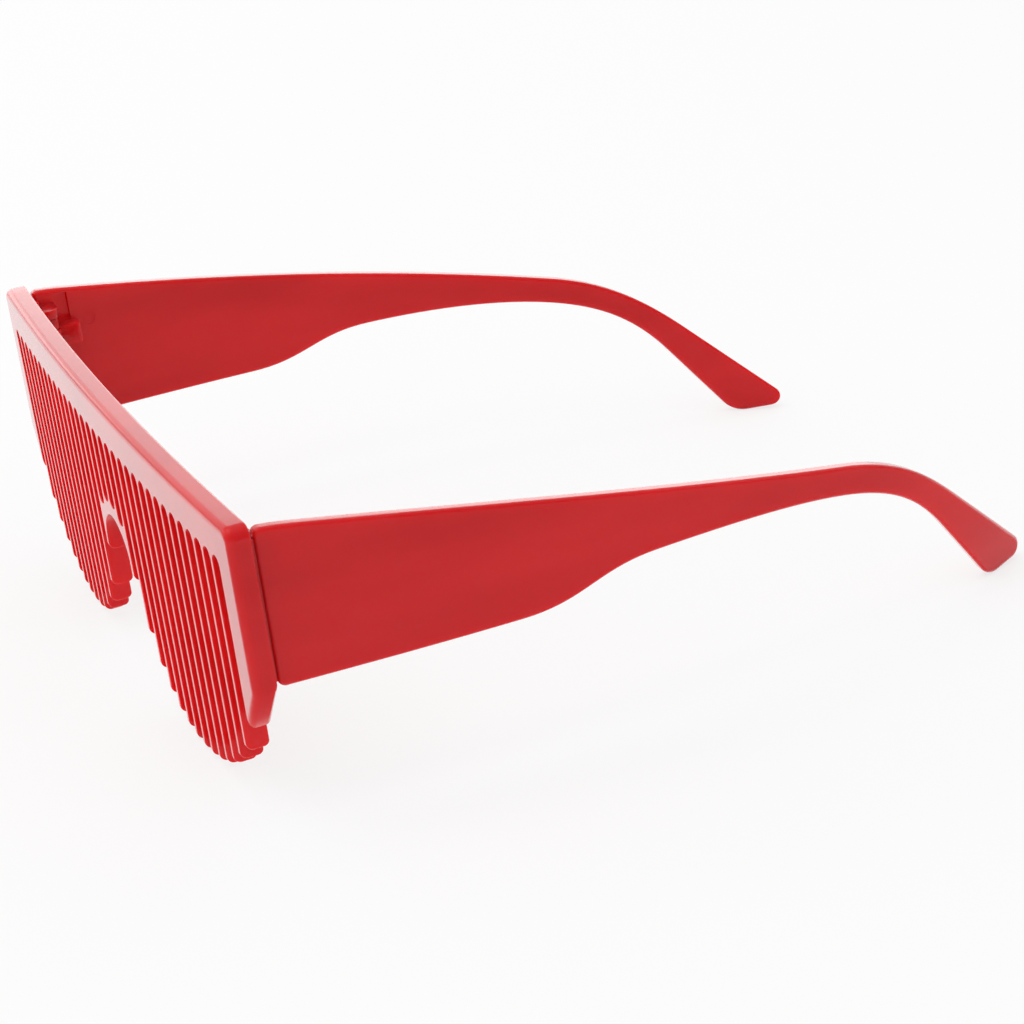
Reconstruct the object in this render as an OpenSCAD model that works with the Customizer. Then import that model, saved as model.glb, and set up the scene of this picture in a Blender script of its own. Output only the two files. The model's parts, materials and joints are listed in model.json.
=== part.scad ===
// Flat-top party glasses with hanging slats, in millimetres.
// Everything is drawn with the brow's top at z = 0, the front's face at y = 0 and the wearer behind it (+Y).
// set_down() then leans the glasses onto their slats and temple tips, on a table at z = 0.

/* [Front] */
// Number of slats, odd so that one hangs on the centre line
slat_count = 31; // [27:2:33]
// Distance from one slat to the next
pitch = 4.2; // [4:0.05:4.6]
// Thickness of a slat
slat_t = 1; // [0.8:0.05:1.4]
// Width of the bar at each end of the slats
bar_w = 6.2; // [5.4:0.1:8]
// Depth of the front from its face to its back
front_t = 4.1; // [3.4:0.1:5.5]
// Radius of the front's curve, seen from above
wrap_r = 1250; // [700:10:2500]
// Height of the closed brow above the slots
brow_h = 6.8; // [5.5:0.1:9]
// Rounding of the brow's front edge
brow_r = 1.4; // [0.6:0.1:1.8]
// Rounding of the brow's back edge
back_r = 0.4; // [0.2:0.1:0.8]
// Rounding of the front's top outer corners
corner_r = 2.4; // [1:0.1:3]
// Rounding of the front's upright outer edges
side_r = 1.2; // [0.6:0.1:1.8]

/* [Slat ends] */
// From the brow's top down to the longest slats
front_h = 54.5; // [48:0.5:60]
// From the centre line out to the longest slats
low_x = 36; // [33:0.5:38]
// Width of the curve from the longest slats in to the nose
nose_reach = 30; // [28:0.5:32]
// Height of that curve
nose_drop = 40; // [34:0.5:44]
// Fullness of that curve, 2 for an ellipse
nose_power = 2.3; // [2:0.05:2.8]
// Width of the curve from the longest slats out to the bar
side_reach = 40; // [38.5:0.5:46]
// Height of that curve
side_drop = 42; // [36:0.5:48]
// From the brow's top to the bottom of the bar's outer side
bar_h = 29.6; // [26:0.1:34]
// From the brow's top to the bottom of the bar's inner side
bar_foot = 38; // [35:0.1:42]
// Rounding of a slat's lower front corner
toe_r = 1.3; // [0.8:0.1:1.6]
// Rounding of a slat's lower back corner
heel_r = 1; // [0.6:0.1:1.5]
// Rounding of a slat's long edges
edge_r = 0.4; // [0.2:0.05:0.4]

/* [Nose] */
// From the brow's top to the top of the nose gap
nose_top = 23.5; // [20:0.5:26]
// Thickness of the arch above the nose gap
arch_t = 2.6; // [2:0.1:4]

/* [Temples] */
// Thickness of a temple
temple_t = 2.6; // [2:0.1:3.4]
// Step in from the front's end to the temple's outer face
temple_in = 1; // [0.2:0.1:1.6]
// Gap between the front's back and the temple
joint_gap = 0.6; // [0.5:0.1:1.2]
// From the brow's top down to the temple's front top corner
temple_drop = 0.9; // [0.6:0.1:2]
// Length of the wide part
wide_len = 43; // [38:0.5:52]
// How much lower the wide part's lower line ends than it starts
wide_drop = 0.6; // [0:0.1:1]
// Length over which the wide part steps up to the arm
step_len = 26; // [20:0.5:32]
// From the brow's top to the arm's underside, past the step
arm_low = 25.6; // [24.5:0.1:27]
// Length of the arm, from the step to the ear bend
arm_len = 40.6; // [34:0.2:46]
// From the brow's top to the arm's top, at the ear bend
bend_top = 24; // [22.5:0.1:25]
// Height of the arm at the ear bend
arm_h = 5.4; // [4.6:0.1:6.4]
// Length of the tip behind the ear bend, to the centre of its back corner's rounding
tip_len = 41.4; // [39:0.1:44]
// From the ear bend's top down to that centre
tip_drop = 33.6; // [32:0.1:35]
// Rounding of the tip's back corner
tip_r = 2.2; // [1.6:0.1:2.8]
// Rounding of the tip's front corner
sole_r = 3.8; // [3:0.1:4.6]
// Straight length of the sole, between the two corners
sole_len = 5.4; // [4.6:0.1:6.4]
// Slope of the sole, up towards the back
sole_angle = 4.6; // [2:0.2:8]
// Rounding of the sole's long edges
sole_edge = 0.5; // [0.2:0.05:0.6]
// Slope of the tip's upper line
tip_top_angle = 44.3; // [42:0.1:46]
// Slope of the tip's lower line
tip_under_angle = 53.5; // [51:0.1:56]
// Straight run of the upper line into the tip's back corner
tip_run = 24.4; // [20:0.2:25]
// Straight run of the lower line into the tip's front corner
under_run = 17.2; // [14:0.2:18]
// Angle at which the temple leaves its hinge outwards, seen from above
splay = 2.05; // [1:0.05:2.5]
// How far in the temple has bowed by its tip, over and above the splay
bow_in = 28.8; // [22:0.2:32]
// How much of the bow comes late: 2 bends evenly, 3 mostly behind the ear
bow_power = 2.8; // [2.2:0.05:3]
// Rounding of the temple's long edges
temple_r = 0.7; // [0.3:0.1:1]
// Rounding of the temple's front corners
nib_r = 1.4; // [1:0.1:3]
// Extra drop of the temple's upper line at its front end
nib_fall = 0.35; // [0:0.05:0.5]
// How far back that drop runs
nib_run = 6.4; // [4:0.2:8]

/* [Hinges] */
// Radius of the temple's knuckles
knuckle_r = 2.1; // [1.8:0.1:2.4]
// Gap between the front's back and the knuckles
knuckle_gap = 0.45; // [0.3:0.05:0.6]
// Space between the knuckles' round side and the temple's inner face
hinge_in = 0.6; // [0.4:0.1:1]
// From the temple's top down to its upper knuckle
knuckle_drop = 3.5; // [2.8:0.1:3.8]
// Height of the temple's upper knuckle
upper_h = 1.9; // [1.6:0.1:2.4]
// Height of the temple's lower knuckle
lower_h = 4.1; // [3.4:0.1:5]
// Radius of the front's ear between them
ear_r = 1.7; // [1.5:0.1:1.9]
// Height of the front's ear
ear_h = 2.2; // [1.8:0.1:2.6]
// Gap above and below the ear
ear_gap = 0.2; // [0.15:0.05:0.4]
// Radius of the hinge pin
pin_r = 0.7; // [0.5:0.05:0.8]
// Radial clearance of the pin in the ear
pin_gap = 0.05; // [0.03:0.01:0.1]
// Radius of the pin's head
head_r = 1.2; // [1:0.05:1.4]
// Height of the pin's head
head_h = 0.6; // [0.4:0.1:1]
// Thickness of the cap that the upper knuckle keeps over the pin
pin_cap = 0.6; // [0.4:0.1:0.8]
// Space between the pin's end and that cap
pin_end = 0.2; // [0.1:0.05:0.4]
// Length of the lower knuckle's foot along the temple
foot_len = 4.1; // [2:0.1:4.6]
// Rounding of that foot's back edge
foot_r = 1; // [0.4:0.1:1.6]
// Depth of the pocket beside the knuckles
pocket_d = 1.2; // [0.6:0.1:1.4]
// Width of the pocket
pocket_w = 2.7; // [2:0.1:4]
// From the temple's upper line down to the pocket
pocket_cap = 0.85; // [0.75:0.05:1.4]
// Radius of the round mould mark on a temple's inner face
mark_r = 1.4; // [1:0.1:2]
// From the temple's front edge to the mould mark
mark_y = 10.5; // [9:0.1:14]
// From the brow's top down to the mould mark
mark_drop = 9.4; // [8:0.1:14]
// Depth of the mould mark
mark_d = 0.15; // [0.05:0.05:0.3]

/* [Hidden] */
$fn = 48;
wrap_fn = 1440;
RED = [0.8, 0.09, 0.11];
STEEL = [0.72, 0.73, 0.75];
over = 1;
bite = 0.5;

slot_w = pitch - slat_t;
end_slot_x = slat_count / 2 * pitch;
half_w = end_slot_x + slot_w / 2 + bar_w;
wrap_angle = 2 * asin((half_w + over) / wrap_r);
last_slat = (slat_count - 1) / 2;
// The two slats beside the nose gap end in the arch's legs
leg = 2;
nose_r = leg * pitch - slat_t / 2;
nose_z = -nose_top - nose_r;
arch_r = nose_r + arch_t;

function face_y(x) = wrap_r - sqrt(wrap_r * wrap_r - x * x);
function nose_side(u) = nose_drop * (1 - pow(1 - pow(min(u, 1), nose_power), 1 / nose_power));
function outer_side(u) = side_drop * (1 - sqrt(1 - pow(min(u, 1), 2)));
function rim(x) = front_h - (x < low_x ? nose_side((low_x - x) / nose_reach)
                                       : outer_side((x - low_x) / side_reach));

// Temple places along Y, from the hinge back to the tip
outer_x = half_w - temple_in;
inner_x = outer_x - temple_t;
temple_y = face_y(outer_x) + front_t + joint_gap;
wide_end = temple_y + wide_len;
arm_start = wide_end + step_len;
bend_y = arm_start + arm_len;
tip_y = bend_y + tip_len;
tip_z = -bend_top - tip_drop;
tip = [tip_y, tip_z];
sole_dir = [cos(sole_angle), sin(sole_angle)];
sole_c = tip + (sole_r - tip_r) * left_of(sole_dir) - sole_len * sole_dir;

hinge_x = inner_x - hinge_in - knuckle_r;
hinge_y = temple_y - joint_gap + knuckle_gap + knuckle_r;
knuckle_z = -temple_drop - knuckle_drop;
ear_z = knuckle_z - upper_h - ear_gap;
lower_z = ear_z - ear_h - ear_gap;
hinge_foot = lower_z - lower_h;
pin_len = knuckle_z - pin_cap - hinge_foot;
pocket_y = hinge_y + knuckle_r + ear_gap;

// Lean at which the slats and the temple tips touch the table together
low_slat = max([for (k = [leg : last_slat]) rim(k * pitch)]);
toe = [face_y(low_x) + toe_r, -low_slat + toe_r];
function lean_onto(c, r) = let (rise = c - toe) asin((r - toe_r) / norm(rise)) - atan2(rise[1], rise[0]);
lean = max(lean_onto(tip, tip_r), lean_onto(sole_c, sole_r));
table_z = toe[0] * sin(lean) + toe[1] * cos(lean) - toe_r;
front_edge = brow_r * (cos(lean) + sin(lean) - 1);
back_edge = tip_y * cos(lean) - tip_z * sin(lean) + tip_r;

module set_down() {
    translate([0, -(front_edge + back_edge) / 2, -table_z])
        rotate([lean, 0, 0])
            children();
}

// Turns a drawing of x and z into a plate that is deep along Y
module along_y(from, to) {
    translate([0, to, 0])
        rotate([90, 0, 0])
            linear_extrude(to - from)
                children();
}

// Turns a drawing of y and z into a plate that is thick along X
module along_x(from, to) {
    translate([from, 0, 0])
        rotate([90, 0, 90])
            linear_extrude(to - from)
                children();
}

// What a rounding leaves off a square corner at the origin, whose sides run to -X and -Y
module corner_waste(r) {
    difference() {
        translate([-r, -r])
            square(r + over);
        translate([-r, -r])
            circle(r);
    }
}

// The curved band that the whole front is cut from
module band() {
    translate([0, wrap_r, 0])
        rotate([0, 0, -90 - wrap_angle / 2])
            rotate_extrude(angle = wrap_angle, $fn = wrap_fn)
                difference() {
                    translate([wrap_r - front_t, -front_h])
                        square([front_t, front_h]);
                    translate([wrap_r, 0])
                        corner_waste(brow_r);
                    translate([wrap_r - front_t, 0])
                        mirror([1, 0])
                            corner_waste(back_r);
                }
}

// Brow, end bars and nose arch, seen from the front
module front_outline() {
    difference() {
        union() {
            translate([-half_w, -brow_h - slot_w / 2])
                square([2 * half_w, brow_h + slot_w / 2]);
            for (side = [-1, 1])
                scale([side, 1])
                    polygon([[half_w - bar_w, 0], [half_w, 0],
                             [half_w, -bar_h], [half_w - bar_w, -bar_foot]]);
            translate([-leg * pitch - slat_t / 2, nose_z])
                square([2 * leg * pitch + slat_t, arch_r]);
        }
        for (side = [-1, 1])
            scale([side, 1])
                translate([half_w, 0])
                    corner_waste(corner_r);
        translate([0, nose_z])
            circle(nose_r);
    }
}

// Slot between two slats, with a round top, and a round bottom where it ends over the arch
module slot(x) {
    foot = abs(x) < leg * pitch ? -nose_z - sqrt(arch_r * arch_r - x * x) - slot_w / 2 : front_h + over;
    head = brow_h + slot_w / 2;
    translate([x - slot_w / 2, -foot])
        square([slot_w, foot - head]);
    for (z = [head, foot])
        translate([x, -z])
            circle(slot_w / 2);
}

// One slat: a thin blade with rounded long edges and a rounded toe and heel
module slat(x, foot) {
    translate([x, face_y(x), 0])
        intersection() {
            translate([0, 0, -foot])
                linear_extrude(foot - brow_h - slot_w / 2)
                    difference() {
                        translate([-slat_t / 2, 0])
                            square([slat_t, front_t]);
                        for (side = [-1, 1])
                            scale([side, 1]) {
                                translate([slat_t / 2, front_t])
                                    corner_waste(edge_r);
                                translate([slat_t / 2, 0])
                                    mirror([0, 1])
                                        corner_waste(edge_r);
                            }
                    }
            along_x(-slat_t, slat_t)
                difference() {
                    translate([0, -foot])
                        square([front_t, foot]);
                    translate([0, -foot])
                        rotate(180)
                            corner_waste(toe_r);
                    translate([front_t, -foot])
                        rotate(-90)
                            corner_waste(heel_r);
                }
        }
}

// Ear on the back of the front that sits between a temple's knuckles
module ear() {
    back = face_y(hinge_x) + front_t;
    difference() {
        translate([hinge_x, hinge_y, ear_z - ear_h]) {
            cylinder(h = ear_h, r = ear_r);
            translate([-ear_r, back - bite - hinge_y, 0])
                cube([2 * ear_r, hinge_y - back + bite, ear_h]);
        }
        translate([hinge_x, hinge_y, ear_z - ear_h - over])
            cylinder(h = ear_h + 2 * over, r = pin_r + pin_gap);
    }
}

// Rounding of the front's upright outer edge and of the slanted foot of an end bar
module bar_waste() {
    side_y = face_y(half_w);
    translate([half_w, side_y, -front_h])
        linear_extrude(front_h + over)
            mirror([0, 1])
                corner_waste(side_r);
    slant = atan2(bar_w, bar_foot - bar_h);
    translate([half_w, side_y, -bar_h])
        rotate([0, slant, 0])
            translate([0, 0, -bar_foot])
                linear_extrude(bar_foot + toe_r * tan(slant / 2)) {
                    mirror([0, 1])
                        corner_waste(toe_r);
                    translate([0, front_t])
                        corner_waste(heel_r);
                }
}

module front_frame() {
    color(RED)
        set_down()
            union() {
                difference() {
                    intersection() {
                        band();
                        along_y(-over, face_y(half_w) + front_t + over)
                            front_outline();
                    }
                    along_y(-over, face_y(half_w) + front_t + over)
                        for (i = [0 : slat_count])
                            slot((i - slat_count / 2) * pitch);
                    for (side = [-1, 1])
                        scale([side, 1, 1])
                            bar_waste();
                }
                for (k = [-last_slat : last_slat])
                    slat(k * pitch, abs(k) < leg ? nose_top - arch_t / 2 : rim(abs(k) * pitch));
                for (side = [-1, 1])
                    scale([side, 1, 1])
                        ear();
            }
}

// Point at t on a cubic curve with ends a and d and handles b and c
function curve(a, b, c, d, t) =
    pow(1 - t, 3) * a + 3 * pow(1 - t, 2) * t * b + 3 * (1 - t) * t * t * c + pow(t, 3) * d;

// Height of the temple's upper line at y, up to the ear bend
fall = bend_top - temple_drop;
sag = 0.19;
function upper(y) = let (u = (y - temple_y) / (bend_y - temple_y))
    -temple_drop - fall * u * (1 - sag + sag * u) - nib_fall * pow(max(1 - (y - temple_y) / nib_run, 0), 2);

// Directions along the temple: at the ear bend, and along the tip's upper and lower lines
bend_dir = [1, -fall * (1 + sag) / (bend_y - temple_y)] / norm([1, fall * (1 + sag) / (bend_y - temple_y)]);
top_dir = [cos(tip_top_angle), -sin(tip_top_angle)];
under_dir = [cos(tip_under_angle), -sin(tip_under_angle)];
function left_of(dir) = [-dir[1], dir[0]];

// Height of the wide part's lower line at y
function lower(y) = -bar_h - wide_drop * (y - temple_y) / wide_len;

// Ends of the ear bend and of the straight runs behind it, on the upper and lower lines
bend_start = [[bend_y, -bend_top], [bend_y, -bend_top] - arm_h * left_of(bend_dir)];
run_end = [tip + tip_r * left_of(top_dir), sole_c - sole_r * left_of(under_dir)];
bend_end = run_end - [tip_run * top_dir, under_run * under_dir];
bend_soft = 10.7;
arm_soft = 0.3 * arm_len;
step_soft = 0.45 * step_len;

// Stations along the temple: each is a pair of points, on the upper and on the lower line
nib = [for (a = [10 : 20 : 90]) let (y = temple_y + nib_r * (1 - cos(a)))
       [[y, upper(y) - nib_r * (1 - sin(a))], [y, lower(y) + nib_r * (1 - sin(a))]]];
wide_y = concat([for (i = [1 : 3]) nib_r + (nib_run - nib_r) * i / 3],
                [for (i = [1 : 6]) nib_run + (wide_len - nib_run) * i / 6]);
wide = [for (run = wide_y) let (y = temple_y + run) [[y, upper(y)], [y, lower(y)]]];
step = [for (i = [1 : 8]) let (t = i / 8, y = wide_end + step_len * t)
        [[y, upper(y)],
         curve([wide_end, lower(wide_end)], [wide_end + step_soft, lower(wide_end + step_soft)],
               [arm_start - step_soft, -arm_low], [arm_start, -arm_low], t)]];
arm = [for (i = [1 : 6]) let (t = i / 6, y = arm_start + arm_len * t)
       [[y, upper(y)],
        curve([arm_start, -arm_low], [arm_start + arm_soft, -arm_low],
              bend_start[1] - arm_soft * bend_dir, bend_start[1], t)]];
ear_bend = [for (i = [1 : 10]) let (t = i / 10)
            [curve(bend_start[0], bend_start[0] + bend_soft * bend_dir,
                   bend_end[0] - bend_soft * top_dir, bend_end[0], t),
             curve(bend_start[1], bend_start[1] + bend_soft * bend_dir,
                   bend_end[1] - bend_soft * under_dir, bend_end[1], t)]];
straight = [for (t = [1 / 3, 2 / 3]) bend_end + (run_end - bend_end) * t];

// Pair of points on the tip's two round corners, part of the way (0 to 1) to the last height above the sole
sole_down = sole_angle - 90;
function around(c, r, a) = c + r * [cos(a), sin(a)];
function turn_at(h, r) = acos(1 - h / r);
function tip_pair(t, h) =
    [around(tip, tip_r, (1 - t) * (90 - tip_top_angle) + t * (sole_down + turn_at(h, tip_r))),
     around(sole_c, sole_r, (1 - t) * (-90 - tip_under_angle) + t * (sole_down - turn_at(h, sole_r)))];
tip_round = [for (i = [0 : 6]) tip_pair(i / 6, sole_edge)];
stations = concat(nib, wide, step, arm, ear_bend, straight, tip_round);

// How far in the temple lies at y, seen from above
reach = tip_y + tip_r - temple_y;
function bow(y) = bow_in * pow(max(y - temple_y, 0) / reach, bow_power) - tan(splay) * (y - temple_y);

// Outline of the temple cut across at a station: a bar with rounded corners, as points in space.
// A trim thins the bar on both sides
function cut(pair, trim = 0) =
    let (up = pair[0] - pair[1], h = norm(up), r = min(temple_r, h / 2.2) - trim, dir = up / h,
         near = trim + r, far = temple_t - trim - r)
    [for (c = [[r, near, 180], [h - r, near, 90], [h - r, far, 0], [r, far, -90]], a = [0 : 30 : 90])
     let (q = [c[0] + r * cos(c[2] - a), c[1] + r * sin(c[2] - a) * -1], p = pair[1] + dir * q[0])
     [outer_x - bow(p[0]) - q[1], p[0], p[1]]];
sole_cuts = [for (a = [30 : 30 : 90]) cut(tip_pair(1, sole_edge * (1 - sin(a))), sole_edge * (1 - cos(a)))];

// Skin over a row of outlines that all have the same number of points
module skin(rings) {
    n = len(rings[0]);
    last = (len(rings) - 1) * n;
    polyhedron(
        points = [for (ring = rings) each ring],
        faces = concat(
            [[for (j = [n - 1 : -1 : 0]) j]],
            [for (i = [0 : len(rings) - 2], j = [0 : n - 1]) let (a = i * n + j, b = i * n + (j + 1) % n)
             each [[a, b, a + n], [b, b + n, a + n]]],
            [[for (j = [0 : n - 1]) last + j]]));
}

// The wearer's left temple, at rest
module temple() {
    difference() {
        union() {
            skin(concat([for (pair = stations) cut(pair)], sole_cuts));
            translate([hinge_x, hinge_y, knuckle_z - upper_h])
                cylinder(h = upper_h, r = knuckle_r);
            translate([hinge_x, hinge_y - knuckle_r, knuckle_z - upper_h])
                cube([inner_x + bite - hinge_x, 2 * knuckle_r, upper_h]);
            translate([hinge_x, hinge_y, hinge_foot])
                cylinder(h = lower_h, r = knuckle_r);
            translate([hinge_x, hinge_y - knuckle_r, hinge_foot])
                linear_extrude(lower_h)
                    difference() {
                        square([inner_x + bite - hinge_x, 2 * knuckle_r + foot_len]);
                        translate([0, 2 * knuckle_r + foot_len])
                            mirror([1, 0])
                                corner_waste(foot_r);
                    }
        }
        translate([hinge_x, hinge_y, hinge_foot - over])
            cylinder(h = pin_len + over, r = pin_r);
        translate([hinge_x, hinge_y, hinge_foot - over])
            cylinder(h = head_h + over, r = head_r);
        translate([inner_x - over, pocket_y, lower_z])
            cube([pocket_d + over, pocket_w, upper(pocket_y + pocket_w) - pocket_cap - lower_z]);
        translate([inner_x - bow(temple_y + mark_y) + mark_d, temple_y + mark_y, -mark_drop])
            rotate([0, -90, 0])
                cylinder(h = over, r = mark_r);
    }
}

module hinge_pin() {
    translate([hinge_x, hinge_y, hinge_foot]) {
        cylinder(h = head_h, r = head_r);
        cylinder(h = pin_len - pin_end, r = pin_r);
    }
}

module temple_left() {
    color(RED)
        set_down()
            temple();
}

module temple_right() {
    color(RED)
        set_down()
            mirror([1, 0, 0])
                temple();
}

module hinge_pin_left() {
    color(STEEL)
        set_down()
            hinge_pin();
}

module hinge_pin_right() {
    color(STEEL)
        set_down()
            mirror([1, 0, 0])
                hinge_pin();
}

front_frame();
temple_left();
temple_right();
hinge_pin_left();
hinge_pin_right();
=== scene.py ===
import json
import math

import bmesh
import bpy
from mathutils import Matrix, Vector


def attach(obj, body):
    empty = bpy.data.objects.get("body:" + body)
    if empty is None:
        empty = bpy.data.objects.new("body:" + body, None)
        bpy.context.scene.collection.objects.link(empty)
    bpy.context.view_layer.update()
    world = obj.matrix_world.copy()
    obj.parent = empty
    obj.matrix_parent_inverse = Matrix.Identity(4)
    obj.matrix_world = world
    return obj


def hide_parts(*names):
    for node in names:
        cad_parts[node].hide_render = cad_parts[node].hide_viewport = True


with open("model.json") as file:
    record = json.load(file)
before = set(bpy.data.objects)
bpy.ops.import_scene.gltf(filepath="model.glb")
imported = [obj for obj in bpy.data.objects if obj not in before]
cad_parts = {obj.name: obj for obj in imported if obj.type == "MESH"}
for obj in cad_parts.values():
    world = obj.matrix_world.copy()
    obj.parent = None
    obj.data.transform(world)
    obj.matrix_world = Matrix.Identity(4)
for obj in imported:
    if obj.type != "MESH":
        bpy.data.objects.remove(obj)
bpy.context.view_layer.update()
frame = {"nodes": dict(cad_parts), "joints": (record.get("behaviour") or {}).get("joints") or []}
print("frame loaded:", ", ".join(sorted(frame["nodes"])))

# Every piece is modelled in millimetres, with the brow's top at z = 0, the front's face at y = 0 and the
# wearer behind it. Then it is turned and lowered onto the table, with the hinge joint as the guide
hinge = {
    "x": 66.6,  # out from the middle to the hinge's axis
    "y": 8.7196,  # back from the front's face
    "z": -9.0,  # height of the point that the joint is stated at
    "knuckleRadius": 2.1,
    "upperTop": -4.4,
    "upperHigh": 1.9,
    "earTop": -6.5,
    "earHigh": 2.2,
    "earRadius": 1.7,
    "earBore": 10.0,  # how far the ear's bore is cut above and below the joint's point
    "lowerTop": -8.9,
    "lowerHigh": 4.1,
    "footLong": 4.1,  # how far the lower knuckle's block runs back along the temple
    "footRound": (1.0, 8),  # for each round edge: its radius and the steps in it
    "softEdge": (0.15, 2),
    "smoothTo": 30,
    "pinRadius": 0.7,
    "pinGap": 0.05,  # room that the ear has round the pin
    "pinCap": 0.6,  # plastic left over the pin's top
    "headRadius": 1.2,  # the room for the pin's head, under the lower knuckle
    "headHigh": 0.6,
}
millimetre = 0.001
tiny = 1e-3
overlap = 0.5  # how far a joined shape reaches into its neighbour
spare = 1.0  # how far a cutting shape reaches past the surface


def takeOnly(piece):
    bpy.ops.object.select_all(action="DESELECT")
    piece.select_set(True)
    bpy.context.view_layer.objects.active = piece
    return piece


def newest(name):
    piece = bpy.context.active_object
    bpy.ops.object.transform_apply(location=True, rotation=True, scale=True)
    piece.name = piece.data.name = name
    return piece


def openEdit(piece):
    takeOnly(piece)
    bpy.ops.object.mode_set(mode="EDIT")


def closeEdit():
    bpy.ops.object.mode_set(mode="OBJECT")


def pick(piece, kind, test):
    bpy.ops.mesh.select_mode(type=kind)
    bpy.ops.mesh.select_all(action="DESELECT")
    mesh = bmesh.from_edit_mesh(piece.data)
    for part in {"VERT": mesh.verts, "EDGE": mesh.edges, "FACE": mesh.faces}[kind]:
        if test(part):
            part.select_set(True)
    mesh.select_flush_mode()
    bmesh.update_edit_mesh(piece.data)


def pickAll():
    bpy.ops.mesh.select_all(action="SELECT")


def isSharp(edge):
    return len(edge.link_faces) == 2 and edge.calc_face_angle() > math.radians(50)


def shiftPicked(piece, rule):  # rule gives a picked vertex its new place
    mesh = bmesh.from_edit_mesh(piece.data)
    for v in mesh.verts:
        if v.select:
            v.co = Vector(rule(v.co))
    mesh.normal_update()
    bmesh.update_edit_mesh(piece.data)


def extrudePicked(x, y, z):
    bpy.ops.mesh.extrude_region_move(TRANSFORM_OT_translate={"value": (x, y, z)})


def extrudeWhole(x, y):  # a flat shape becomes a solid
    alignNormals()
    extrudePicked(x, y, 0)
    alignNormals()


def alignNormals():
    pickAll()
    bpy.ops.mesh.normals_make_consistent(inside=False)


def mergeDoubles():
    bpy.ops.mesh.select_mode(type="VERT")
    pickAll()
    bpy.ops.mesh.remove_doubles(threshold=tiny)
    pickAll()


def roundPicked(radius, steps):
    bpy.ops.mesh.bevel(offset=radius, offset_type="OFFSET", segments=steps, profile=0.5, affect="EDGES",
                       clamp_overlap=False)


def joinAll(pieces, name):
    takeOnly(pieces[0])
    for piece in pieces:
        piece.select_set(True)
    bpy.ops.object.join()
    pieces[0].name = pieces[0].data.name = name
    return pieces[0]


def modify(piece, kind, **settings):
    takeOnly(piece)
    modifier = piece.modifiers.new(kind.title(), kind)
    for setting, value in settings.items():
        setattr(modifier, setting, value)
    bpy.ops.object.modifier_apply(modifier=modifier.name)


def combine(piece, tool, operation):
    modify(piece, "BOOLEAN", object=tool, operation=operation, solver="EXACT")
    bpy.data.objects.remove(tool)


def turnOutwards(piece):  # in edit mode
    alignNormals()
    if bmesh.from_edit_mesh(piece.data).calc_volume(signed=True) < 0:
        bpy.ops.mesh.flip_normals()


def faceOutwards(piece):
    openEdit(piece)
    turnOutwards(piece)
    closeEdit()


def smoothPiece(piece, angle):
    takeOnly(piece)
    bpy.ops.object.shade_smooth_by_angle(angle=math.radians(angle))
    modify(piece, "WEIGHTED_NORMAL", keep_sharp=True, weight=50)


# Box between two corners, left in edit mode
def openBox(low, high, name):
    bpy.ops.mesh.primitive_cube_add(size=1)
    box = newest(name)
    openEdit(box)
    pickAll()
    shiftPicked(box, lambda p: [high[i] if p[i] > 0 else low[i] for i in range(3)])
    return box


# Upright rod round a hinge's axis, from its top down
def pinRod(side, radius, top, high, corners, name):
    bpy.ops.mesh.primitive_cylinder_add(vertices=corners, radius=radius, depth=high,
                                        location=(side * hinge["x"], hinge["y"], top - high / 2))
    return newest(name)


# Places a finished piece: millimetres to metres, leaned and lowered as the hinge joint says
def setDown(piece):
    joint = next(j for j in frame["joints"] if j["name"] == "hinge_left")
    lean = Matrix.Rotation(math.atan2(-joint["axis"][1], joint["axis"][2]), 4, "X")
    stated = Vector(joint["pos_m"])
    drawn = lean @ (Vector((hinge["x"], hinge["y"], hinge["z"])) * millimetre)
    piece.matrix_world = Matrix.Translation(stated - drawn) @ lean @ Matrix.Scale(millimetre, 4)
    takeOnly(piece)
    bpy.ops.object.transform_apply(location=True, rotation=True, scale=True)


front = {
    "slats": 31,
    "pitch": 4.2,
    "slatThick": 1.0,
    "deep": 4.1,
    "wrapRadius": 1250.0,  # of the gentle curve round the face
    "browHigh": 6.8,
    "barWide": 6.2,
    "barOuter": 29.6,  # down to the bottom of the bar's outer side
    "barInner": 38.0,
    "slatLong": 54.5,  # down to the longest slats
    "lowX": 36.0,  # how far out those hang
    "noseReach": 30.0,  # from there the lower line rises towards the nose
    "noseDrop": 40.0,
    "nosePower": 2.3,
    "sideReach": 40.0,  # and towards the sides
    "sideDrop": 42.0,
    "noseTop": 23.5,  # down to the top of the nose gap
    "archThick": 2.6,
    "legSlat": 2,  # the slats beside the nose gap that carry the arch
    "cornerRound": (2.4, 6),
    "rimRound": (1.35, 8),  # round the brow's face and the slats' lower ends
    "heelRound": (1.0, 6),  # the lower ends again, at the back
    "backRound": (0.4, 4),
    "edgeRound": (0.16, 4),  # every edge that is left
    "slotCorners": 32,  # points round a slot's end, if it were a whole circle
    "smoothTo": 40,  # degrees between faces that still look smooth
}
slotWide = front["pitch"] - front["slatThick"]
slotTop = front["browHigh"] + slotWide / 2  # down to the centre of a slot's round top
lastSlat = (front["slats"] - 1) // 2
barInnerX = front["slats"] / 2 * front["pitch"] + slotWide / 2
halfWide = barInnerX + front["barWide"]
noseRadius = front["legSlat"] * front["pitch"] - front["slatThick"] / 2
noseCentre = -front["noseTop"] - noseRadius
archRadius = noseRadius + front["archThick"]


def wrap(x):  # how far back the curved front lies at x
    return front["wrapRadius"] - math.sqrt(front["wrapRadius"] ** 2 - x * x)


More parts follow.
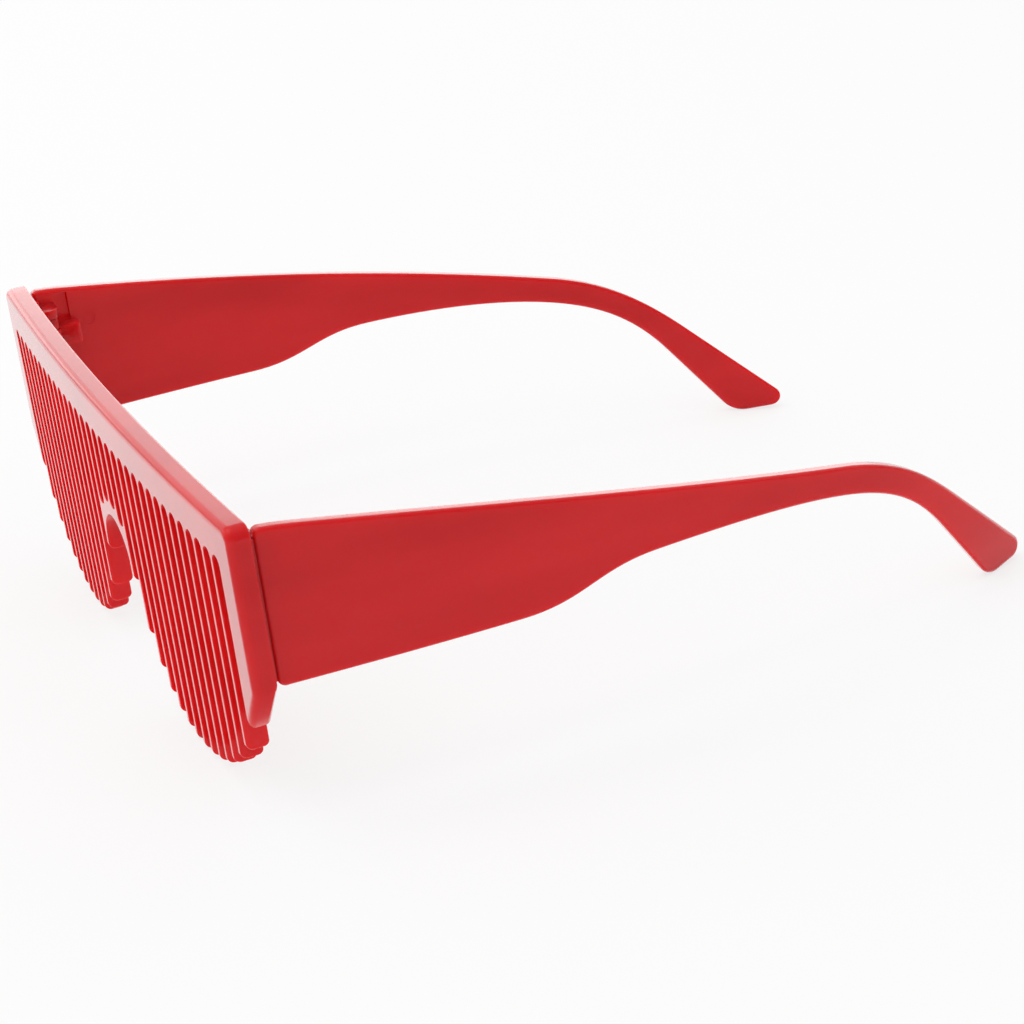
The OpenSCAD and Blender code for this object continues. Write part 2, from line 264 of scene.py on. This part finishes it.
def slatFoot(x):  # depth of the slats' lower line at x
    x = abs(x)
    if x < front["lowX"]:
        share = min((front["lowX"] - x) / front["noseReach"], 1)
        rise = front["noseDrop"] * (1 - (1 - share ** front["nosePower"]) ** (1 / front["nosePower"]))
    else:
        share = min((x - front["lowX"]) / front["sideReach"], 1)
        rise = front["sideDrop"] * (1 - math.sqrt(1 - share * share))
    return front["slatLong"] - rise


def archUnder(x):  # height of the nose gap's round top at x
    return noseCentre + math.sqrt(max(noseRadius ** 2 - x * x, 0))


def slotBottom(x):  # height of the centre of the round bottom of a slot over the arch
    return noseCentre + math.sqrt(archRadius ** 2 - x * x) + slotWide / 2


# Wall over a slot's round top, or under its round bottom, still flat and without thickness
def slotWall(x, upper):
    centre = -slotTop if upper else slotBottom(x)
    bpy.ops.mesh.primitive_circle_add(vertices=front["slotCorners"], radius=slotWide / 2,
                                      location=(x, 0, centre), rotation=(math.pi / 2, 0, 0))
    wall = newest("slotWall")
    openEdit(wall)
    side = 1 if upper else -1
    pick(wall, "VERT", lambda v: (v.co.z - centre) * side < -tiny)
    bpy.ops.mesh.delete(type="VERT")
    bpy.ops.mesh.select_mode(type="EDGE")
    pickAll()
    extrudePicked(0, 0, side)
    shiftPicked(wall, lambda p: (p.x, p.y, 0 if upper else archUnder(p.x)))
    closeEdit()
    return wall


# Strip that hangs from the brow's top and is extruded down from one pair of heights to the next
def hangingStrip(left, right, heights, name):
    bpy.ops.mesh.primitive_plane_add(size=1, rotation=(math.pi / 2, 0, 0))
    strip = newest(name)
    openEdit(strip)
    pickAll()
    shiftPicked(strip, lambda p: (left if p.x < 0 else right, 0, 0 if p.z > 0 else -slotTop))
    lowest = -slotTop
    for leftZ, rightZ in heights:
        pick(strip, "EDGE", lambda e: all(v.co.z <= lowest + tiny for v in e.verts) and e.is_boundary)
        extrudePicked(0, 0, -1)
        shiftPicked(strip, lambda p: (p.x, 0, leftZ if p.x < (left + right) / 2 else rightZ))
        lowest = max(leftZ, rightZ)
    closeEdit()
    return strip


def modelFront():
    pitch, half = front["pitch"], front["slatThick"] / 2
    walls = []
    for i in range(front["slats"] + 1):
        x = (i - front["slats"] / 2) * pitch
        walls.append(slotWall(x, True))
        if abs(x) < front["legSlat"] * pitch:
            walls.append(slotWall(x, False))
    for k in range(-lastSlat, lastSlat + 1):
        x, foot = k * pitch, -slatFoot(k * pitch)
        left, right, inner = x - half, x + half, abs(k) < front["legSlat"]
        heights = [(foot, foot)]
        if inner:
            over = [slotBottom(x - pitch / 2), slotBottom(x + pitch / 2)]
            heights = [over, (archUnder(left), archUnder(right))]
        elif abs(k) == front["legSlat"]:
            over = slotBottom(x - math.copysign(pitch / 2, x))
            heights = [(over, over), (noseCentre, noseCentre), (foot, foot)]
        walls.append(hangingStrip(left, right, heights, "slat"))
    outer, inner = -front["barOuter"], -front["barInner"]
    walls.append(hangingStrip(barInnerX, halfWide, [(inner, outer)], "bar"))
    walls.append(hangingStrip(-halfWide, -barInnerX, [(outer, inner)], "bar"))
    shape = joinAll(walls, "slattedFront")
    print("front outline joined from", len(walls), "strips")

    deep, corner = front["deep"], halfWide - front["cornerRound"][0]
    openEdit(shape)
    mergeDoubles()
    extrudeWhole(0, deep)

    def onPlane(e, y):
        return all(abs(v.co.y - y) < tiny for v in e.verts) and isSharp(e)

    def onFoot(e):  # lower ends of slats and bars
        low = max(v.co.z for v in e.verts)
        level = abs(e.verts[0].co.z - e.verts[1].co.z) < tiny
        slantedBar = all(abs(v.co.x) > barInnerX - tiny and v.co.z < outer + tiny for v in e.verts)
        return slantedBar or level and low < -slotTop - tiny and abs(e.verts[0].co.x) > noseRadius - tiny

    def onBrow(e):
        return all(v.co.z > -tiny for v in e.verts) or all(abs(v.co.x) > corner - tiny for v in e.verts)

    pick(shape, "EDGE", lambda e: all(abs(v.co.x) > halfWide - tiny and v.co.z > -tiny for v in e.verts))
    roundPicked(*front["cornerRound"])
    pick(shape, "EDGE", lambda e: onPlane(e, 0) and (onFoot(e) or onBrow(e)))
    roundPicked(*front["rimRound"])
    pick(shape, "EDGE", lambda e: onPlane(e, deep) and onFoot(e))
    roundPicked(*front["heelRound"])
    pick(shape, "EDGE", lambda e: onPlane(e, deep) and onBrow(e))
    roundPicked(*front["backRound"])
    pick(shape, "EDGE", isSharp)
    roundPicked(*front["edgeRound"])
    mergeDoubles()
    shiftPicked(shape, lambda p: (p.x, p.y + wrap(p.x), p.z))
    turnOutwards(shape)
    closeEdit()
    smoothPiece(shape, front["smoothTo"])
    setDown(shape)
    print("slatted front:", len(shape.data.polygons), "faces")
    return shape


# The front's ear, which sits between a temple's knuckles
def modelEar(side):
    name = "frontEarLeft" if side > 0 else "frontEarRight"
    ear = pinRod(side, hinge["earRadius"], hinge["earTop"], hinge["earHigh"], 48, name)
    back = wrap(hinge["x"]) + front["deep"]
    openEdit(ear)
    pick(ear, "FACE", lambda f: abs(f.normal.z) < 0.5 and f.normal.y < 0)
    extrudePicked(0, -overlap, 0)
    shiftPicked(ear, lambda p: (p.x, back - overlap, p.z))
    closeEdit()
    bore, reach = hinge["pinRadius"] + hinge["pinGap"], hinge["earBore"]
    combine(ear, pinRod(side, bore, hinge["z"] + reach, 2 * reach, 32, "bore"), "DIFFERENCE")
    faceOutwards(ear)
    smoothPiece(ear, hinge["smoothTo"])
    setDown(ear)
    return ear


rib = {
    "inner": 67.2,
    "lipOuter": 71.85,
    "edgeInner": 69.95,  # the lip's outer part is deeper, for no knuckle stands behind it
    "blockOuter": 68.9,
    "root": 5.5,  # where all of it starts, inside the bar
    "lipBack": 6.58,  # as far back as the knuckles leave room for
    "edgeBack": 6.71,
    "blockBack": 7.5,
    "bottom": -28.4,
    "lowerStep": -13.3,
    "upperStep": -4.1,
    "top": -2.9,
    "inset": 0.1,  # how much the lip stays inside the blocks' outline
    "softEdge": (0.1, 3),
    "smoothTo": 35,
}


# Upright lip behind the front's end, with two deeper blocks, that closes the gap in front of a temple
def modelRib(side):
    inset = rib["inset"]
    root, low, high = rib["root"] + inset, rib["bottom"] + inset, rib["top"] - inset
    shapes = (
        (rib["inner"] + inset, rib["lipOuter"], root, rib["lipBack"], low, high),
        (rib["edgeInner"], rib["lipOuter"], root, rib["edgeBack"], low, high),
        (rib["inner"], rib["blockOuter"], rib["root"], rib["blockBack"], rib["bottom"], rib["lowerStep"]),
        (rib["inner"], rib["blockOuter"], rib["root"], rib["blockBack"], rib["upperStep"], rib["top"]),
    )
    blocks = []
    for inner, outer, fore, back, low, high in shapes:
        near, far = sorted((side * inner, side * outer))
        block = openBox((near, fore, low), (far, back, high), "block")
        pickAll()
        roundPicked(*rib["softEdge"])
        closeEdit()
        blocks.append(block)
    whole = blocks[0]
    for block in blocks[1:]:
        combine(whole, block, "UNION")
    whole.name = whole.data.name = "frontRibLeft" if side > 0 else "frontRibRight"
    faceOutwards(whole)
    smoothPiece(whole, rib["smoothTo"])
    setDown(whole)
    return whole


temple = {
    "thick": 2.6,
    "stepIn": 1.0,  # in from the front's end to the temple's outer face
    "gap": 0.6,  # between the front and the temple
    "topDrop": 0.9,  # how much lower its upper line starts than the brow's top
    "wideLong": 43.0,
    "wideDrop": 0.6,  # how much lower the wide part's lower line ends than it starts
    "stepLong": 26.0,
    "stepSoft": 0.45,  # share of the step's length that its curve leans on at each end
    "armLow": 25.6,  # down to the arm's lower line, where the step ends
    "armLong": 40.6,
    "armSoft": 0.3,
    "bendTop": 24.0,  # down to the upper line at the ear bend
    "armHigh": 5.4,
    "tipLong": 41.4,  # from the ear bend to the centre of the tip's back corner
    "tipDrop": 33.6,
    "backCorner": 2.2,
    "frontCorner": 5.0,
    "soleLong": 4.73,
    "soleSlope": 4.6,  # degrees
    "topSlope": 44.3,
    "underSlope": 53.5,
    "tipRun": 24.4,  # straight stretches of the tip's upper and lower line
    "underRun": 17.2,
    "bendSoft": 10.7,
    "crown": 0.19,  # how far the upper line bulges over a straight one
    "splay": 2.05,  # degrees by which the temple opens outwards
    "bowIn": 28.8,  # how far its end curves back in
    "bowPower": 2.8,
    "edgeRound": (0.7, 6),
    "nibRound": (1.4, 8),
    "nibFall": 0.35,  # extra drop of the upper line at its front end
    "nibRun": 6.4,  # how far back that drop runs
    "nibPoints": 4,  # points along each stretch of the outline
    "widePoints": 11,
    "stepPoints": 18,
    "armPoints": 14,
    "bendPoints": 20,
    "tipPoints": 8,
    "cornerPoints": 12,
    "pocketGap": 0.2,  # from the knuckles to the sunk pocket behind them
    "pocketDeep": 1.2,
    "pocketWide": 2.7,
    "pocketCap": 0.85,
    "markRadius": 1.4,  # round mould mark on the inner face
    "markBack": 10.5,
    "markDrop": 9.4,
    "markDeep": 0.15,
    "smoothTo": 35,
}
outerX = halfWide - temple["stepIn"]
innerX = outerX - temple["thick"]
templeY = wrap(outerX) + front["deep"] + temple["gap"]
wideEnd = templeY + temple["wideLong"]
armStart = wideEnd + temple["stepLong"]
bendY = armStart + temple["armLong"]
tipCentre = Vector((bendY + temple["tipLong"], -temple["bendTop"] - temple["tipDrop"]))


def softLine(a, b, c, d, t):  # point at t on a cubic with ends a and d and handles b and c
    return (1 - t) ** 3 * a + 3 * (1 - t) ** 2 * t * b + 3 * (1 - t) * t * t * c + t ** 3 * d


def lowerLine(y):
    return -front["barOuter"] - temple["wideDrop"] * (y - templeY) / temple["wideLong"]


def upperLine(y):
    share = (y - templeY) / (bendY - templeY)
    fall = temple["bendTop"] - temple["topDrop"]
    dip = temple["nibFall"] * max(1 - (y - templeY) / temple["nibRun"], 0) ** 2
    return -temple["topDrop"] - fall * share * (1 - temple["crown"] + temple["crown"] * share) - dip


def heading(degrees):
    return Vector((math.cos(math.radians(degrees)), math.sin(math.radians(degrees))))


def across(direction):
    return Vector((-direction.y, direction.x))


# Pairs of points, on the temple's upper and lower line, from the hinge back to the flat sole of the tip
def templePairs():
    pairs = []
    short, long = temple["nibRun"], temple["wideLong"]
    steps = temple["nibPoints"]
    runs = [short * i / steps for i in range(steps)]
    steps = temple["widePoints"]
    runs += [short + (long - short) * i / steps for i in range(steps + 1)]
    for run in runs:
        y = templeY + run
        pairs.append((Vector((y, upperLine(y))), Vector((y, lowerLine(y)))))

    soft = temple["stepSoft"] * temple["stepLong"]
    stepFrom, stepTo = Vector((wideEnd, lowerLine(wideEnd))), Vector((armStart, -temple["armLow"]))
    leave, arrive = Vector((wideEnd + soft, lowerLine(wideEnd + soft))), Vector((armStart - soft, stepTo.y))
    steps = temple["stepPoints"]
    for i in range(1, steps + 1):
        t = i / steps
        y = wideEnd + temple["stepLong"] * t
        pairs.append((Vector((y, upperLine(y))), softLine(stepFrom, leave, arrive, stepTo, t)))

    slope = (temple["bendTop"] - temple["topDrop"]) * (1 + temple["crown"]) / (bendY - templeY)
    bend = Vector((1, -slope)).normalized()
    bendUpper = Vector((bendY, -temple["bendTop"]))
    bendUnder = bendUpper - temple["armHigh"] * across(bend)
    soft = temple["armSoft"] * temple["armLong"]
    leave, arrive = Vector((armStart + soft, -temple["armLow"])), bendUnder - soft * bend
    steps = temple["armPoints"]
    for i in range(1, steps + 1):
        t = i / steps
        y = armStart + temple["armLong"] * t
        pairs.append((Vector((y, upperLine(y))), softLine(stepTo, leave, arrive, bendUnder, t)))

    top, bottom = heading(-temple["topSlope"]), heading(-temple["underSlope"])
    sole = heading(temple["soleSlope"])
    back, fore = temple["backCorner"], temple["frontCorner"]
    foreCentre = tipCentre + (fore - back) * across(sole) - temple["soleLong"] * sole
    runUpper = tipCentre + back * across(top)
    runUnder = foreCentre - fore * across(bottom)
    endUpper = runUpper - temple["tipRun"] * top
    endUnder = runUnder - temple["underRun"] * bottom
    soft = temple["bendSoft"]
    steps = temple["bendPoints"]
    for i in range(1, steps + 1):
        t = i / steps
        upper = softLine(bendUpper, bendUpper + soft * bend, endUpper - soft * top, endUpper, t)
        under = softLine(bendUnder, bendUnder + soft * bend, endUnder - soft * bottom, endUnder, t)
        pairs.append((upper, under))

    steps = temple["tipPoints"]
    for i in range(1, steps):
        pairs.append((endUpper.lerp(runUpper, i / steps), endUnder.lerp(runUnder, i / steps)))
    down = temple["soleSlope"] - 90
    steps = temple["cornerPoints"]
    for i in range(steps + 1):
        t = i / steps
        upper = tipCentre + back * heading((1 - t) * (90 - temple["topSlope"]) + t * down)
        under = foreCentre + fore * heading((1 - t) * (-90 - temple["underSlope"]) + t * down)
        pairs.append((upper, under))
    return pairs


def bow(y):  # how far in the splayed and bowed temple has come at y
    along = max(y - templeY, 0)
    reach = tipCentre.x + temple["backCorner"] - templeY
    splay = math.tan(math.radians(temple["splay"]))
    return temple["bowIn"] * (along / reach) ** temple["bowPower"] - splay * along


def modelTemple():
    pairs = templePairs()
    bpy.ops.mesh.primitive_plane_add(size=1, rotation=(0, math.pi / 2, 0))
    arm = newest("templeLeft")
    openEdit(arm)
    pickAll()
    shiftPicked(arm, lambda p: (outerX, *pairs[0 if p.y < 0 else 1][0 if p.z > 0 else 1]))
    for last, pair in zip(pairs[1:], pairs[2:]):  # the end edge is extruded from pair to pair
        ends = [Vector((outerX, *point)) for point in last]
        pick(arm, "EDGE", lambda e: all(min((v.co - end).length for end in ends) < tiny for v in e.verts))
        extrudePicked(0, 0, 0)
        shiftPicked(arm, lambda p: (outerX, *pair[0 if (p - ends[0]).length < (p - ends[1]).length else 1]))
    endUpper, endUnder = pairs[-temple["cornerPoints"] - 2]
    below = -across(endUpper - endUnder)
    pick(arm, "FACE", lambda f: (f.calc_center_median().yz - endUnder).dot(below) > tiny)
    bpy.ops.mesh.dissolve_faces()
    extrudeWhole(-temple["thick"], 0)
    pick(arm, "EDGE", lambda e: all(v.co.y < templeY + tiny for v in e.verts)
         and abs(e.verts[0].co.x - e.verts[1].co.x) > temple["thick"] / 2)
    roundPicked(*temple["nibRound"])
    pick(arm, "EDGE", isSharp)
    roundPicked(*temple["edgeRound"])
    mergeDoubles()
    shiftPicked(arm, lambda p: (p.x - bow(p.y), p.y, p.z))
    turnOutwards(arm)
    closeEdit()
    addHinge(arm)
    smoothPiece(arm, temple["smoothTo"])
    other = mirrored(arm, "templeRight")
    for piece in (arm, other):
        setDown(piece)
    print("temples:", len(arm.data.polygons), "faces each")
    return arm, other


# Knuckles, pin bore, pocket and mould mark of the wearer's left temple
def addHinge(arm):
    radius, axisY = hinge["knuckleRadius"], hinge["y"]

    def isOpen(e):  # sharp, and not inside the temple
        return isSharp(e) and any(v.co.x < innerX for v in e.verts)

    for top, high, runBack in ((hinge["upperTop"], hinge["upperHigh"], 0),
                               (hinge["lowerTop"], hinge["lowerHigh"], hinge["footLong"])):
        knuckle = pinRod(1, radius, top, high, 64, "knuckle")
        openEdit(knuckle)
        pick(knuckle, "VERT", lambda v: v.co.x > hinge["x"] + tiny)
        shiftPicked(knuckle, lambda p: (innerX + overlap, p.y, p.z))
        pick(knuckle, "EDGE", isOpen)
        roundPicked(*hinge["softEdge"])
        closeEdit()
        if runBack:
            block = openBox((hinge["x"], axisY, top - high),
                            (innerX + overlap, axisY + radius + runBack, top), "block")
            pick(block, "EDGE", lambda e: all(v.co.y > axisY + tiny and v.co.x < innerX for v in e.verts))
            roundPicked(*hinge["footRound"])
            pick(block, "EDGE", lambda e: isOpen(e) and all(v.co.y > axisY - tiny for v in e.verts)
                 and any(v.co.y > axisY + tiny for v in e.verts))
            roundPicked(*hinge["softEdge"])
            closeEdit()
            combine(knuckle, block, "UNION")
        combine(arm, knuckle, "UNION")

    foot = hinge["lowerTop"] - hinge["lowerHigh"]
    for radius, top in ((hinge["pinRadius"], hinge["upperTop"] - hinge["pinCap"]),
                        (hinge["headRadius"], foot + hinge["headHigh"])):
        combine(arm, pinRod(1, radius, top, top - foot + spare, 48, "bore"), "DIFFERENCE")
    start = axisY + hinge["knuckleRadius"] + temple["pocketGap"]
    end = start + temple["pocketWide"]
    pocket = openBox((innerX - spare, start, hinge["lowerTop"]),
                     (innerX + temple["pocketDeep"], end, upperLine(end) - temple["pocketCap"]), "pocket")
    closeEdit()
    combine(arm, pocket, "DIFFERENCE")
    markY = templeY + temple["markBack"]
    markX = innerX - bow(markY) + temple["markDeep"] - spare / 2
    bpy.ops.mesh.primitive_cylinder_add(vertices=48, radius=temple["markRadius"], depth=spare,
                                        location=(markX, markY, -temple["markDrop"]),
                                        rotation=(0, math.pi / 2, 0))
    combine(arm, newest("mark"), "DIFFERENCE")
    faceOutwards(arm)


def mirrored(piece, name):
    copy = piece.copy()
    copy.data = piece.data.copy()
    copy.name = copy.data.name = name
    bpy.context.scene.collection.objects.link(copy)
    copy.matrix_world = Matrix.Scale(-1, 4, (1, 0, 0))
    takeOnly(copy)
    bpy.ops.object.transform_apply(location=True, rotation=True, scale=True)
    faceOutwards(copy)
    return copy


# One socket of a material: sums written on it in Python add Math nodes
class Wire:
    def __init__(self, tree, socket):
        self.tree, self.socket = tree, socket

    def sum(self, operation, first, second):
        node = self.tree.nodes.new("ShaderNodeMath")
        node.operation = operation
        for slot, value in zip(node.inputs, (first, second)):
            if isinstance(value, Wire):
                self.tree.links.new(value.socket, slot)
            else:
                slot.default_value = value
        return Wire(self.tree, node.outputs[0])

    def __add__(self, other):
        return self.sum("ADD", self, other)

    def __sub__(self, other):
        return self.sum("SUBTRACT", self, other)

    def __rsub__(self, other):
        return self.sum("SUBTRACT", other, self)

    def __mul__(self, other):
        return self.sum("MULTIPLY", self, other)

    __radd__, __rmul__ = __add__, __mul__


class Finish:
    def __init__(self, owner):  # owner is a material or the room
        owner.use_nodes = True
        self.owner, self.tree = owner, owner.node_tree
        self.tree.nodes.clear()

    def node(self, kind, settings=None, sockets=None, out=0):
        node = self.tree.nodes.new("ShaderNode" + kind)
        for setting, value in (settings or {}).items():
            if setting == "stops":
                for stop, (place, colour) in zip(node.color_ramp.elements, value):
                    stop.position, stop.color = place, (*colour, 1)
            else:
                setattr(node, setting, value)
        for socket, value in (sockets or {}).items():
            if isinstance(value, Wire):
                self.tree.links.new(value.socket, node.inputs[socket])
            else:
                node.inputs[socket].default_value = value
        return Wire(self.tree, node.outputs[out]) if len(node.outputs) else None

    def noise(self, place, scale, detail, rough):
        return self.node("TexNoise", sockets={"Vector": place, "Scale": scale, "Detail": detail,
                                              "Roughness": rough})

    def fade(self, value, start, end, first, last):  # soft change from first to last between two values
        return self.node("MapRange", {"interpolation_type": "SMOOTHSTEP"}, {
            "Value": value, "From Min": start, "From Max": end, "To Min": first, "To Max": last})

    def highest(self, value, *others):
        for other in others:
            value = self.node("Math", {"operation": "MAXIMUM"}, {0: value, 1: other})
        return value

    def looks(self):  # each is 1 for what is seen straight, in gloss, or through something clear
        rays = ("Is Camera Ray", "Is Glossy Ray", "Is Transmission Ray")
        return [self.node("LightPath", out=ray) for ray in rays]


redPlastic = {
    "deepRed": (0.565, 0.0125, 0.016),
    "lightRed": (0.645, 0.019, 0.023),
    "drift": (0.35, 0.65),  # the noise values that give the deep and the light red
    "driftScale": (60, 14, 60),  # streaks per metre, longest along the temples
    "roughness": 0.16,
    "smudge": 0.07,  # how much the roughness varies
    "smudgeScale": 90.0,
    "peel": 0.035,  # strength of the fine unevenness of the moulded skin
    "peelHigh": 0.0006,
    "waveScale": 130.0,
    "grainScale": 900.0,
    "grainShare": 0.4,
    "refraction": 1.5,
    "shine": 0.22,  # level of the plain gloss
    "sheenFrom": 0.44,  # slant at which the extra gloss of grazing light begins, 1 is edge on
    "sheenTo": 0.68,
    "sheenMost": 1.0,
    "sheenRough": 0.2,
    "sheenRefraction": 2.1,
    "glow": 0.9,  # share of light that goes through the plastic's outer skin
    "glowReach": 0.004,
    "glowSpread": (1.0, 0.06, 0.04),
}


def makeRedPlastic():
    finish = Finish(bpy.data.materials.new("mouldedRedPlastic"))
    place = finish.node("TexCoord", out="Object")
    flow = finish.node("Mapping", sockets={"Vector": place, "Scale": redPlastic["driftScale"]})
    drift = finish.noise(flow, 1.0, 3.0, 0.5)
    reds = zip(redPlastic["drift"], (redPlastic["deepRed"], redPlastic["lightRed"]))
    colour = finish.node("ValToRGB", {"stops": reds}, {"Fac": drift})
    smudges = finish.noise(place, redPlastic["smudgeScale"], 5.0, 0.6)
    grain = finish.noise(place, redPlastic["grainScale"], 2.0, 0.5)
    waves = finish.noise(place, redPlastic["waveScale"], 1.0, 0.4)
    bump = finish.node("Bump", sockets={
        "Height": grain * redPlastic["grainShare"] + waves,
        "Strength": redPlastic["peel"],
        "Distance": redPlastic["peelHigh"],
    })
    slant = finish.node("LayerWeight", sockets={"Blend": 0.5}, out="Facing")
    sheen = finish.fade(slant, redPlastic["sheenFrom"], redPlastic["sheenTo"], 0.0, redPlastic["sheenMost"])
    skin = finish.node("BsdfPrincipled", {"subsurface_method": "RANDOM_WALK"}, {
        "Base Color": colour,
        "Coat Weight": sheen,
        "Coat Roughness": redPlastic["sheenRough"],
        "Coat IOR": redPlastic["sheenRefraction"],
        "Roughness": (smudges - 0.5) * redPlastic["smudge"] + redPlastic["roughness"],
        "IOR": redPlastic["refraction"],
        "Specular IOR Level": redPlastic["shine"],
        "Subsurface Weight": redPlastic["glow"],
        "Subsurface Radius": redPlastic["glowSpread"],
        "Subsurface Scale": redPlastic["glowReach"],
        "Normal": bump,
    })
    finish.node("OutputMaterial", sockets={"Surface": skin})
    return finish.owner


pinSteel = {
    "dull": (0.46, 0.46, 0.48),
    "colour": (0.62, 0.62, 0.64),
    "drift": (0.3, 0.6),
    "drawScale": (4000, 4000, 160),  # fine scratches along the wire
    "scratch": 0.1,
    "scratchHigh": 0.0001,
    "roughness": 0.28,
    "roughSpread": 0.2,
}


def makePinSteel():
    finish = Finish(bpy.data.materials.new("drawnSteel"))
    place = finish.node("TexCoord", out="Object")
    along = finish.node("Mapping", sockets={"Vector": place, "Scale": pinSteel["drawScale"]})
    draw = finish.noise(along, 1.0, 4.0, 0.6)
    greys = zip(pinSteel["drift"], (pinSteel["dull"], pinSteel["colour"]))
    colour = finish.node("ValToRGB", {"stops": greys}, {"Fac": draw})
    bump = finish.node("Bump", sockets={
        "Height": draw, "Strength": pinSteel["scratch"], "Distance": pinSteel["scratchHigh"]})
    skin = finish.node("BsdfPrincipled", sockets={
        "Base Color": colour,
        "Metallic": 1.0,
        "Roughness": (draw - 0.5) * pinSteel["roughSpread"] + pinSteel["roughness"],
        "Normal": bump,
    })
    finish.node("OutputMaterial", sockets={"Surface": skin})
    return finish.owner


def dress(piece, material):
    piece.data.materials.clear()
    piece.data.materials.append(material)


studio = {
    "ambient": 0.73,  # light that the room gives from all round
    "shadeSide": 0.27,  # how bright the side behind the camera looks in gloss
    "sideFade": (-0.2, 0.8),  # the directions between which it gets darker
    "shadeLow": 0.45,  # how bright the room looks in gloss level with the table
    "lowFade": (0.05, 0.4),
    "floorColour": (0.93, 0.93, 0.93),
    "floorRough": 0.9,
    "floorShine": 0.1,
    "floorWide": 6.0,
    "floorWhite": 0.72,  # share of plain white in how the floor looks, which leaves a faint shadow
    "left": {"place": (-1.25, 0.3, 0.27), "wide": 1.9, "high": 0.4, "watts": 2.5},
    "fore": {"place": (-0.5, -1.05, 0.45), "wide": 0.9, "high": 0.6, "watts": 2.0},
    "top": {"place": (0.0, -0.5, 1.4), "wide": 1.2, "high": 1.2, "watts": 5.8},
}
plainWhite = (1, 1, 1, 1)


def makeRoom():
    room = bpy.data.worlds.new("studioRoom")
    bpy.context.scene.world = room
    air = Finish(room)
    direct, gloss, through = air.looks()
    way = air.node("TexCoord", out="Generated")
    towardsX = air.node("SeparateXYZ", sockets={"Vector": way}, out="X")
    upwards = air.node("SeparateXYZ", sockets={"Vector": way}, out="Z")
    side = air.fade(towardsX, *studio["sideFade"], 1.0, studio["shadeSide"])
    low = air.fade(upwards, *studio["lowFade"], studio["shadeLow"], 1.0)
    seen = air.highest(direct, gloss * (side * low), through)
    strength = seen + (1 - air.highest(direct, gloss, through)) * studio["ambient"]
    glow = air.node("Background", sockets={"Color": plainWhite, "Strength": strength})
    air.node("OutputWorld", sockets={"Surface": glow})


def makeFloor():
    bpy.ops.mesh.primitive_plane_add(size=studio["floorWide"])
    floor = newest("studioFloor")
    ground = Finish(bpy.data.materials.new("paleFloor"))
    paper = ground.node("BsdfPrincipled", sockets={
        "Base Color": (*studio["floorColour"], 1),
        "Roughness": studio["floorRough"],
        "Specular IOR Level": studio["floorShine"],
    })
    white = ground.node("Emission", sockets={"Color": plainWhite, "Strength": 1.0})
    share = ground.highest(*ground.looks()) * studio["floorWhite"]
    mixed = ground.node("MixShader", sockets={0: share, 1: paper, 2: white})
    ground.node("OutputMaterial", sockets={"Surface": mixed})
    dress(floor, ground.owner)


def makeLamps():
    for name in ("left", "fore", "top"):
        lamp = studio[name]
        bpy.ops.object.light_add(type="AREA", location=lamp["place"])
        light = bpy.context.active_object
        light.name = name + "Softbox"
        light.data.shape = "RECTANGLE"
        light.data.size, light.data.size_y = lamp["wide"], lamp["high"]
        light.data.energy = lamp["watts"]
        light.rotation_euler = (-Vector(lamp["place"])).to_track_quat("-Z", "Y").to_euler()
        light.visible_camera = False


camera = {
    "eye": (0.460975, -0.181208, 0.224173),
    "turn": (66.7306, 4.8968, 66.7046),
    "lens": 97.612,
    "sensor": 36.0,
    "nearest": 0.01,
    "farthest": 50.0,
}


def makeCamera():
    bpy.ops.object.camera_add(location=camera["eye"], rotation=[math.radians(a) for a in camera["turn"]])
    viewer = bpy.context.active_object
    viewer.name = "productCamera"
    viewer.data.sensor_width = camera["sensor"]
    viewer.data.lens = camera["lens"]
    viewer.data.clip_start, viewer.data.clip_end = camera["nearest"], camera["farthest"]
    bpy.context.scene.camera = viewer


makeCamera()
makeRoom()
makeFloor()
makeLamps()
print("camera, floor and lights placed")

redSkin, steelSkin = makeRedPlastic(), makePinSteel()
for node in ("hinge_pin_left", "hinge_pin_right"):
    dress(frame["nodes"][node], steelSkin)
print("finishes made")

frontPiece = modelFront()
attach(frontPiece, "front")
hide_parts("front_frame")
for side in (1, -1):
    for part in (modelEar(side), modelRib(side)):
        dress(part, redSkin)
        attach(part, "front")
dress(frontPiece, redSkin)
print("front and its hinge ears modelled")

for piece, name in zip(modelTemple(), ("temple_left", "temple_right")):
    dress(piece, redSkin)
    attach(piece, name)
    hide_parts(name)
print("temples modelled")

bpy.context.scene.view_settings.view_transform = "Standard"
